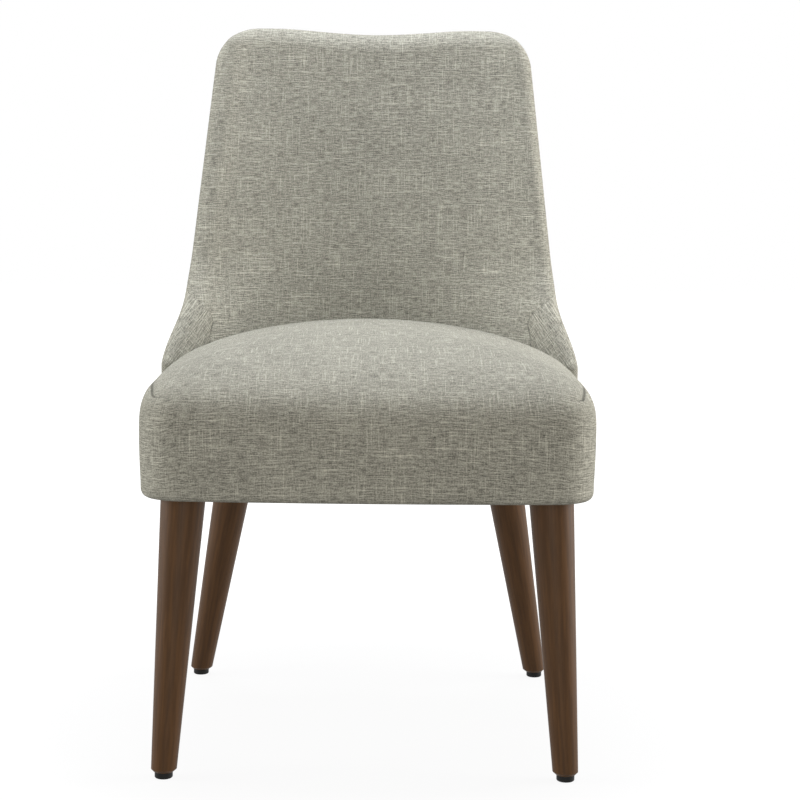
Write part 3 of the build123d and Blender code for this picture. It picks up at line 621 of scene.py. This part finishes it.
def dust_cloth_sheet():
    """One sheet in polar form about the middle. Its edge is the nearest of two straight sides, a straight
    front and a rear arc, with rounded changes between. It sags by a parabola of the share of the way to
    the edge, eased out before the sides, the front and the rear."""
    around = np.linspace(-np.pi, np.pi, SHEET_COLUMNS + 1)[:-1]
    share = np.linspace(0, 1, SHEET_ROWS + 1)[1:, None]
    dx, dy = np.cos(around), np.sin(around)
    side = SHEET_HALF / np.maximum(np.abs(dx), 1e-6)
    front = np.where(dy < 0, SHEET_FRONT / np.maximum(-dy, 1e-6), NO_LIMIT)
    rear_centre = (0, SHEET_REAR - SHEET_REAR_RADIUS)
    rear = np.where(dy > 0, ray(dx, dy, 0, rear_centre, SHEET_REAR_RADIUS), NO_LIMIT)
    edge = soft_min(soft_min(side, front, SHEET_FRONT_CORNER), rear, SHEET_REAR_CORNER)
    reach = share * edge
    x, y = reach * dx, reach * dy
    sag = SHEET_SAG * (1 - share**2) * ease((SAG_HALF - np.abs(x)) / SAG_HALF_FADE)
    z = SHEET_HEIGHT - sag * ease((SAG_REACH - np.hypot(x, y)) / SAG_REACH_FADE)
    index = np.arange(x.size).reshape(x.shape)
    points = np.vstack([np.stack([x, y, z], axis=-1).reshape(-1, 3), [[0, 0, z[0].mean()]]])
    faces = [quads(index)[:, ::-1], fan(index[0], x.size)]
    return to_mesh("dust_cloth_sheet", points, faces, points[:, :2], {})


back = upholstered_back()
seat = upholstered_seat()
dust = dust_cloth_sheet()

# Materials


def linear(code):
    """A colour written as an sRGB hex code, as the linear values a shader takes."""
    parts = [int(code[i:i + 2], 16) / 255 for i in (1, 3, 5)]
    return tuple(c / 12.92 if c <= 0.04045 else ((c + 0.055) / 1.055) ** 2.4 for c in parts) + (1.0,)


def node(tree, kind, links=None, **values):
    """Adds a node: values sets its properties, links its inputs, by name or number, from another node's
    socket or from a constant."""
    made = tree.nodes.new(kind)
    for key, value in values.items():
        setattr(made, key, value)
    for key, value in (links or {}).items():
        if isinstance(value, bpy.types.NodeSocket):
            tree.links.new(value, made.inputs[key])
        else:
            made.inputs[key].default_value = value
    return made


def material(name):
    """A new node material, with its node tree and its surface shader."""
    made = bpy.data.materials.new(name)
    made.use_nodes = True
    tree = made.node_tree
    return made, tree, tree.nodes["Principled BSDF"]


# Linen-look plain weave, greige: light slubs along weft and warp over a crossed grain of pale and dark
# threads. Real threads are under 1 mm, too fine for the picture, so they are drawn 1.2 to 1.7 mm thick.
LINEN = "#9b998d"
BASE_TONE = 0.96
# Painted shade: how dark the cover is made right at a seam, standing in for the shadow in the seam's groove
SEAM_SHADE = 0.45
FACING_TURN = math.radians(42)  # the wings' facings are cut across the weave
WEAVE = (  # streaks per metre across and along, noise seed, noise range, tone range
    ("weft_slub", (15, 640, 1), 2.0, (0.58, 0.69), (0.0, 0.45)),
    ("warp_slub", (640, 18, 1), 4.0, (0.59, 0.7), (0.0, 0.36)),
    ("weft_grain", (90, 720, 1), 7.0, (0.3, 0.7), (-0.28, 0.28)),
    ("warp_grain", (800, 110, 1), 3.0, (0.3, 0.7), (-0.12, 0.12)),
    ("specks", (560, 700, 1), 9.0, (0.3, 0.7), (-0.24, 0.24)),
    ("shading", (14, 14, 1), 5.0, (0.3, 0.7), (-0.03, 0.03)),
)


def linen_weave():
    """The covers' fabric: a tone that the threads of WEAVE add to, darkened along the seams as painted
    shade, times one colour.
    The map is turned on the facings, and the weft's noise also gives the relief."""
    made, tree, skin = material("linen_weave_fabric")
    flat = node(tree, "ShaderNodeUVMap", uv_map="weave").outputs[0]
    either_side = node(tree, "ShaderNodeVectorMath", {0: flat}, operation="ABSOLUTE").outputs[0]
    turned = node(tree, "ShaderNodeMapping", {0: either_side, 2: (0, 0, FACING_TURN)}).outputs[0]
    facing_mark = node(tree, "ShaderNodeAttribute", attribute_name="facing").outputs["Fac"]
    on_facing = node(tree, "ShaderNodeMapRange", {0: facing_mark, 1: -0.3, 2: 0.3}).outputs[0]
    cloth = node(tree, "ShaderNodeMix", {0: on_facing, 4: flat, 5: turned}, data_type="VECTOR").outputs[1]
    tone = BASE_TONE
    for thread, scale, seed, noise_range, tone_range in WEAVE:
        scaled = node(tree, "ShaderNodeMapping", {0: cloth, 1: (seed, seed, seed), 3: scale}).outputs[0]
        noise = node(tree, "ShaderNodeTexNoise", {0: scaled, 2: 1.0, 3: 1.0}).outputs[0]
        ranges = {1: noise_range[0], 2: noise_range[1], 3: tone_range[0], 4: tone_range[1]}
        part = node(tree, "ShaderNodeMapRange", {0: noise, **ranges}, interpolation_type="SMOOTHSTEP")
        tone = node(tree, "ShaderNodeMath", {0: tone, 1: part.outputs[0]}, operation="ADD").outputs[0]
        if thread == "weft_grain":
            relief = node(tree, "ShaderNodeBump", {"Strength": 0.5, "Distance": 0.0008, "Height": noise})
    seam_mark = node(tree, "ShaderNodeAttribute", attribute_name="seam").outputs["Fac"]
    off_seam = node(tree, "ShaderNodeMath", {0: seam_mark}, operation="ABSOLUTE").outputs[0]
    # Painted shade: the tone falls within 2 mm of a seam, as if shadow lay in the seam's groove
    sewn = node(tree, "ShaderNodeMapRange", {0: off_seam, 1: 0.4, 2: 2.0, 3: SEAM_SHADE, 4: 1.0}).outputs[0]
    tone = node(tree, "ShaderNodeMath", {0: tone, 1: sewn}, operation="MULTIPLY").outputs[0]
    dyed = node(tree, "ShaderNodeVectorMath", {0: linear(LINEN)[:3], "Scale": tone}, operation="SCALE")
    tree.links.new(dyed.outputs[0], skin.inputs["Base Color"])
    tree.links.new(relief.outputs[0], skin.inputs["Normal"])
    skin.inputs["Roughness"].default_value = 0.95
    skin.inputs["Specular IOR Level"].default_value = 0.1
    return made


def plain(name, code, rough, grain_scale, spread, metal=0.0, turn=(0, 0, 0)):
    """A material with a streaked or mottled tone: noise stretched by grain_scale, in 1/m, about a colour."""
    made, tree, skin = material(name)
    place = node(tree, "ShaderNodeTexCoord").outputs["Object"]
    first = node(tree, "ShaderNodeMapping", {0: place, 2: turn}).outputs[0]
    scaled = node(tree, "ShaderNodeMapping", {0: first, 3: grain_scale}).outputs[0]
    noise = node(tree, "ShaderNodeTexNoise", {"Vector": scaled, "Scale": 1.0, "Detail": 4.0}).outputs[0]
    shade = node(tree, "ShaderNodeMapRange", {0: noise, 1: 0.3, 2: 0.7, 3: 1 - spread, 4: 1 + spread},
                 interpolation_type="SMOOTHSTEP").outputs[0]
    dyed = node(tree, "ShaderNodeVectorMath", {0: linear(code)[:3], "Scale": shade}, operation="SCALE")
    tree.links.new(dyed.outputs[0], skin.inputs["Base Color"])
    skin.inputs["Roughness"].default_value = rough
    skin.inputs["Metallic"].default_value = metal
    skin.inputs["Specular IOR Level"].default_value = 0.2
    return made


nodes_of = {
    # Kiln-dried beech of the hidden frame
    plain("frame_beech", "#b98f62", 0.7, (120, 8, 120), 0.2): [
        "front_rail", "rear_rail", "left_side_rail", "right_side_rail",
        "front_left_corner_block", "front_right_corner_block",
        "rear_left_corner_block", "rear_right_corner_block"],
    # Birch plywood of the deck and the bent shell
    plain("birch_plywood", "#c9a97c", 0.7, (90, 10, 500), 0.15): ["seat_deck", "back_shell"],
    # Turned beech dowels
    plain("beech_dowel", "#c8a678", 0.6, (200, 200, 200), 0.1): ["frame_dowels"],
    # Zinc-plated steel of screws, bolts, nuts, nails and staples
    plain("zinc_steel", "#aeb1b4", 0.35, (300, 300, 300), 0.05, 1.0): [
        "deck_screws", "shell_screws", "corner_block_screws", "leg_hanger_bolts", "leg_tee_nuts",
        "glide_nails", "dust_cover_staples"],
    # Black polypropylene of the glides
    plain("black_glide_plastic", "#141413", 0.5, (200, 200, 200), 0.1): [
        "front_left_glide", "front_right_glide", "rear_left_glide", "rear_right_glide"],
}
# Dark walnut-stained wood of each leg, its grain along the leg's own axis
LEG_RISE = 320.0
FEET = {"front": (21.4, -21.0), "rear": (61.1, 92.0)}  # how far a foot stands out and back in that rise
for end, (out, behind) in FEET.items():
    for side, sign in (("left", -1), ("right", 1)):
        axis = Vector((-sign * out, -behind, LEG_RISE)).normalized()
        turn = axis.rotation_difference(Vector((0, 0, 1))).to_euler()
        leg = f"{end}_{side}_leg"
        walnut = plain(f"walnut_stained_{leg}", "#52381f", 0.5, (260, 260, 14), 0.2, turn=turn[:])
        nodes_of[walnut] = [leg]
for made, names in nodes_of.items():
    for name in names:
        body = bpy.data.objects[name]
        body.data.materials.clear()
        body.data.materials.append(made)

linen = linen_weave()
# Black non-woven cloth under the seat
black_cloth = plain("black_dust_cloth", "#1c1c1c", 0.95, (700, 700, 700), 0.3)
for piece, fabric, slot, hidden in (
        (back, linen, "linen_weave", ("inside_back_cover", "outside_back_cover", "back_foam")),
        (seat, linen, "linen_weave", ("seat_cover", "seat_foam")),
        (dust, black_cloth, "dust_cloth", ("dust_cover",))):
    piece.data.materials.append(fabric)
    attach(piece, "root")
    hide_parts(*hidden)

# Camera, worked out from the photograph: place in metres, yaw, pitch and roll in degrees

CAMERA_PLACE = (0.012, -2.313, 0.663)
CAMERA_ANGLES = (0.66, 6.12, 0.66)
camera_data = bpy.data.cameras.new("camera")
camera = bpy.data.objects.new("camera", camera_data)
bpy.context.scene.collection.objects.link(camera)
camera_data.sensor_width = 36
camera_data.lens = 82.38
yaw, pitch, roll = (math.radians(a) for a in CAMERA_ANGLES)
forward = Vector((math.sin(yaw) * math.cos(pitch), math.cos(yaw) * math.cos(pitch), -math.sin(pitch)))
level_right = Vector((math.cos(yaw), -math.sin(yaw), 0))
level_up = level_right.cross(forward)
right = level_right * math.cos(roll) + level_up * math.sin(roll)
up = level_up * math.cos(roll) - level_right * math.sin(roll)
axes = Matrix((right, up, -forward)).transposed()
camera.matrix_world = Matrix.Translation(CAMERA_PLACE) @ axes.to_4x4()
bpy.context.scene.camera = camera
bpy.context.scene.view_settings.view_transform = "Standard"

# White studio floor: it glows where it is seen, less so under the chair, so that a faint shadow is left

FLOOR_HALF = 12.0
FLOOR_GLOW = 1.25
SHADOW_NEAR, SHADOW_FAR = 0.35, 1.0  # metres from the middle, where the glow starts to grow and is whole
SHADOW_GLOW = 0.74
floor_mesh = bpy.data.meshes.new("floor")
floor_corners = [(sx * FLOOR_HALF, sy * FLOOR_HALF, 0) for sx, sy in ((-1, -1), (1, -1), (1, 1), (-1, 1))]
floor_mesh.from_pydata(floor_corners, [], [(0, 1, 2, 3)])
floor = bpy.data.objects.new("floor", floor_mesh)
bpy.context.scene.collection.objects.link(floor)
paint, tree, skin = material("white_floor")
skin.inputs["Base Color"].default_value = linear("#868686")
skin.inputs["Roughness"].default_value = 1.0
skin.inputs["Specular IOR Level"].default_value = 0.0
glow = node(tree, "ShaderNodeEmission", {0: (1, 1, 1, 1), 1: FLOOR_GLOW}).outputs[0]
path = node(tree, "ShaderNodeLightPath").outputs
seen = node(tree, "ShaderNodeMath", {0: path["Is Camera Ray"], 1: path["Is Glossy Ray"]},
            operation="ADD").outputs[0]
seen = node(tree, "ShaderNodeMath", {0: seen, 1: path["Is Transmission Ray"]},
            operation="ADD", use_clamp=True).outputs[0]
place = node(tree, "ShaderNodeTexCoord").outputs["Object"]
away = node(tree, "ShaderNodeVectorMath", {0: place}, operation="LENGTH").outputs[1]
share = node(tree, "ShaderNodeMapRange", {0: away, 1: SHADOW_NEAR, 2: SHADOW_FAR, 3: SHADOW_GLOW, 4: 1.0},
             interpolation_type="SMOOTHSTEP").outputs[0]
part = node(tree, "ShaderNodeMath", {0: seen, 1: share}, operation="MULTIPLY").outputs[0]
mixed = node(tree, "ShaderNodeMixShader", {0: part, 1: skin.outputs[0], 2: glow}).outputs[0]
tree.links.new(mixed, tree.nodes["Material Output"].inputs["Surface"])
floor_mesh.materials.append(paint)

# White surroundings: full strength where they are seen, weaker as a light

WORLD_LIGHT = 0.25
world = bpy.data.worlds.new("studio")
bpy.context.scene.world = world
world.use_nodes = True
tree = world.node_tree
path = node(tree, "ShaderNodeLightPath").outputs
seen = node(tree, "ShaderNodeMath", {0: path["Is Camera Ray"], 1: path["Is Transmission Ray"]},
            operation="ADD", use_clamp=True).outputs[0]
strength = node(tree, "ShaderNodeMapRange", {0: seen, 3: WORLD_LIGHT, 4: 1.0}).outputs[0]
tree.nodes["Background"].inputs["Color"].default_value = (1, 1, 1, 1)
tree.links.new(strength, tree.nodes["Background"].inputs["Strength"])

# Soft lights over the chair, at its sides and in front of it


def lamp(name, size, power, tint, place, aim):
    """A square area light at a place, turned towards a point."""
    data = bpy.data.lights.new(name, "AREA")
    data.size = size
    data.energy = power
    data.color = tint
    made = bpy.data.objects.new(name, data)
    bpy.context.scene.collection.objects.link(made)
    made.location = place
    made.rotation_euler = (Vector(aim) - Vector(place)).to_track_quat("-Z", "Y").to_euler()


lamp("overhead", 1.2, 35, (0.97, 1.0, 1.07), (0.0, 0.25, 2.15), (0, 0.1, 0.5))
lamp("left_side", 1.4, 35, (1.0, 1.0, 1.0), (-2.2, -0.2, 0.82), (0, 0, 0.5))
lamp("right_side", 1.4, 53, (1.0, 0.98, 0.96), (2.2, 0.12, 0.8), (0, 0, 0.5))
lamp("front_fill", 0.8, 7.4, (1.0, 0.96, 0.9), (0.0, -1.7, 0.42), (0, -0.3, 0.45))
